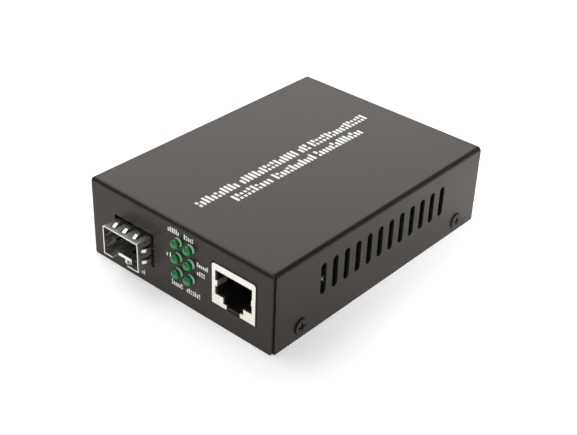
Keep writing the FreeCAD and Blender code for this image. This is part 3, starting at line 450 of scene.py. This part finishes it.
def solder_mask():
    """Green lacquer, lighter and raised over wandering copper tracks."""
    finish = Finish("board_green")
    place = finish.stretched((1.0, 1.0, 0.02))
    track = finish.node("ShaderNodeTexWave", {"bands_direction": "X"}, {
        "Vector": place, "Scale": 260.0, "Distortion": 9.0, "Detail": 1.0, "Detail Scale": 1.0,
    }, 1)
    copper = track > 0.72
    # Both greens are darkened as painted shade, standing in for the shade inside the closed case;
    # the lighter tracks are the board's own pattern.
    colour = finish.blend(copper, rgb(0.003, 0.032, 0.011), rgb(0.008, 0.07, 0.024))
    return finish.surface({
        "Base Color": colour,
        "Roughness": 0.28 + finish.noise(0.0015) * 0.1,
        "Normal": finish.bump(copper, 0.3, 0.00004),
    })


dressed(solder_mask(), "circuit_board")
chip_black = moulding("chip_black", rgb(0.012, 0.012, 0.012), rgb(0.03, 0.03, 0.03), 0.45)
leads = plated("tinned_leads", rgb(0.5, 0.5, 0.5), rgb(0.75, 0.75, 0.74), 0.3, 0.0003)
aluminium = plated("can_aluminium", rgb(0.62, 0.63, 0.64), rgb(0.8, 0.81, 0.82), 0.25, 0.0006)
bright_can = plated("crystal_can", rgb(0.55, 0.55, 0.54), rgb(0.75, 0.75, 0.74), 0.25, 0.0006)
ferrite = moulding("ferrite", rgb(0.03, 0.03, 0.032), rgb(0.06, 0.06, 0.062), 0.6)
ceramic = moulding("resistor_ceramic", rgb(0.02, 0.02, 0.02), rgb(0.05, 0.05, 0.05), 0.5)
dressed(chip_black, "converter_chip", "small_chips", "line_transformer", "rectifier_diode")
dressed(leads, "converter_chip_leads", "small_chip_leads", "line_transformer_leads", "lamp_leads")
dressed(leads, "dc_jack_contacts", "diode_straps")
dressed(aluminium, "capacitor_cans")
dressed(bright_can, "crystal_can")
dressed(ferrite, "power_inductor")
dressed(ceramic, "chip_resistors")

# ---- Floor, light and camera --------------------------------------------------------
# A plain pale floor under one broad overhead light, with two soft lights high on the
# left, one at the front right and a small pool on the floor behind the right side.


def floor_finish():
    """Matt white board that is lit from behind a little."""
    finish = Finish("pale_floor")
    tone = finish.noise(0.4, 2.0)
    return finish.surface({
        "Base Color": finish.blend(tone, rgb(0.84, 0.84, 0.84), rgb(0.86, 0.86, 0.86)),
        "Roughness": 0.9,
        "Specular IOR Level": 0.1,
        "Emission Color": rgb(1.0, 1.0, 1.0),
        "Emission Strength": 0.42,
    })


floor_mesh = bpy.data.meshes.new("floor")
reach = 6.0
corners = [(-reach, -reach, 0), (reach, -reach, 0), (reach, reach, 0), (-reach, reach, 0)]
floor_mesh.from_pydata(corners, [], [(0, 1, 2, 3)])
floor_mesh.materials.append(floor_finish())
floor = bpy.data.objects.new("floor", floor_mesh)
bpy.context.scene.collection.objects.link(floor)


def hung(light, place, aim):
    """Light put at a place and turned to face a point."""
    made = bpy.data.objects.new(light.name, light)
    bpy.context.scene.collection.objects.link(made)
    made.location = place
    towards = Vector(aim) - Vector(place)
    made.rotation_euler = towards.to_track_quat("-Z", "Y").to_euler()


def soft_light(name, place, aim, size, power):
    """Square area light."""
    light = bpy.data.lights.new(name, "AREA")
    light.shape = "SQUARE"
    light.size = size
    light.energy = power
    hung(light, place, aim)


case_middle = (0, 0, 0.02)
soft_light("overhead", (0.0, 0.0, 1.6), (0, 0, 0), 2.0, 6.0)
soft_light("back_left", (-0.81, 0.63, 0.95), case_middle, 1.5, 15.6)
soft_light("high_left", (-0.75, -0.25, 1.13), case_middle, 1.0, 5.5)
soft_light("front_right", (0.80, -0.80, 0.95), case_middle, 1.6, 7.0)

pool = bpy.data.lights.new("floor_pool", "SPOT")
pool.energy = 6.5
pool.spot_size = math.radians(24)
pool.spot_blend = 0.8
pool.shadow_soft_size = 0.05
hung(pool, (0.40, 0.15, 0.25), (0.075, 0.075, 0.0))

world = bpy.data.worlds.new("studio")
world.use_nodes = True
room = world.node_tree.nodes["Background"]
room.inputs["Color"].default_value = rgb(1.0, 1.0, 1.0)
room.inputs["Strength"].default_value = 0.03
bpy.context.scene.world = world
bpy.context.scene.view_settings.view_transform = "Standard"

azimuth = math.radians(40.245)
elevation = math.radians(32.686)
roll = math.radians(2.257)
distance = 342.037 * mm
aim = Vector((0.709, -0.344, 13.0)) * mm
aim_right = -0.949 * mm
aim_up = -5.34 * mm
back = Vector((
    math.sin(azimuth) * math.cos(elevation),
    -math.cos(azimuth) * math.cos(elevation),
    math.sin(elevation),
))
right = Vector((math.cos(azimuth), math.sin(azimuth), 0))
up = back.cross(right)
camera_right = right * math.cos(roll) + up * math.sin(roll)
camera_up = up * math.cos(roll) - right * math.sin(roll)
camera_data = bpy.data.cameras.new("camera")
camera_data.sensor_width = 36.0
camera_data.lens = 70.542
camera = bpy.data.objects.new("camera", camera_data)
bpy.context.scene.collection.objects.link(camera)
place = aim + back * distance + camera_right * aim_right + camera_up * aim_up
turn = Matrix((camera_right, camera_up, back)).transposed()
camera.matrix_world = Matrix.Translation(place) @ turn.to_4x4()
bpy.context.scene.camera = camera
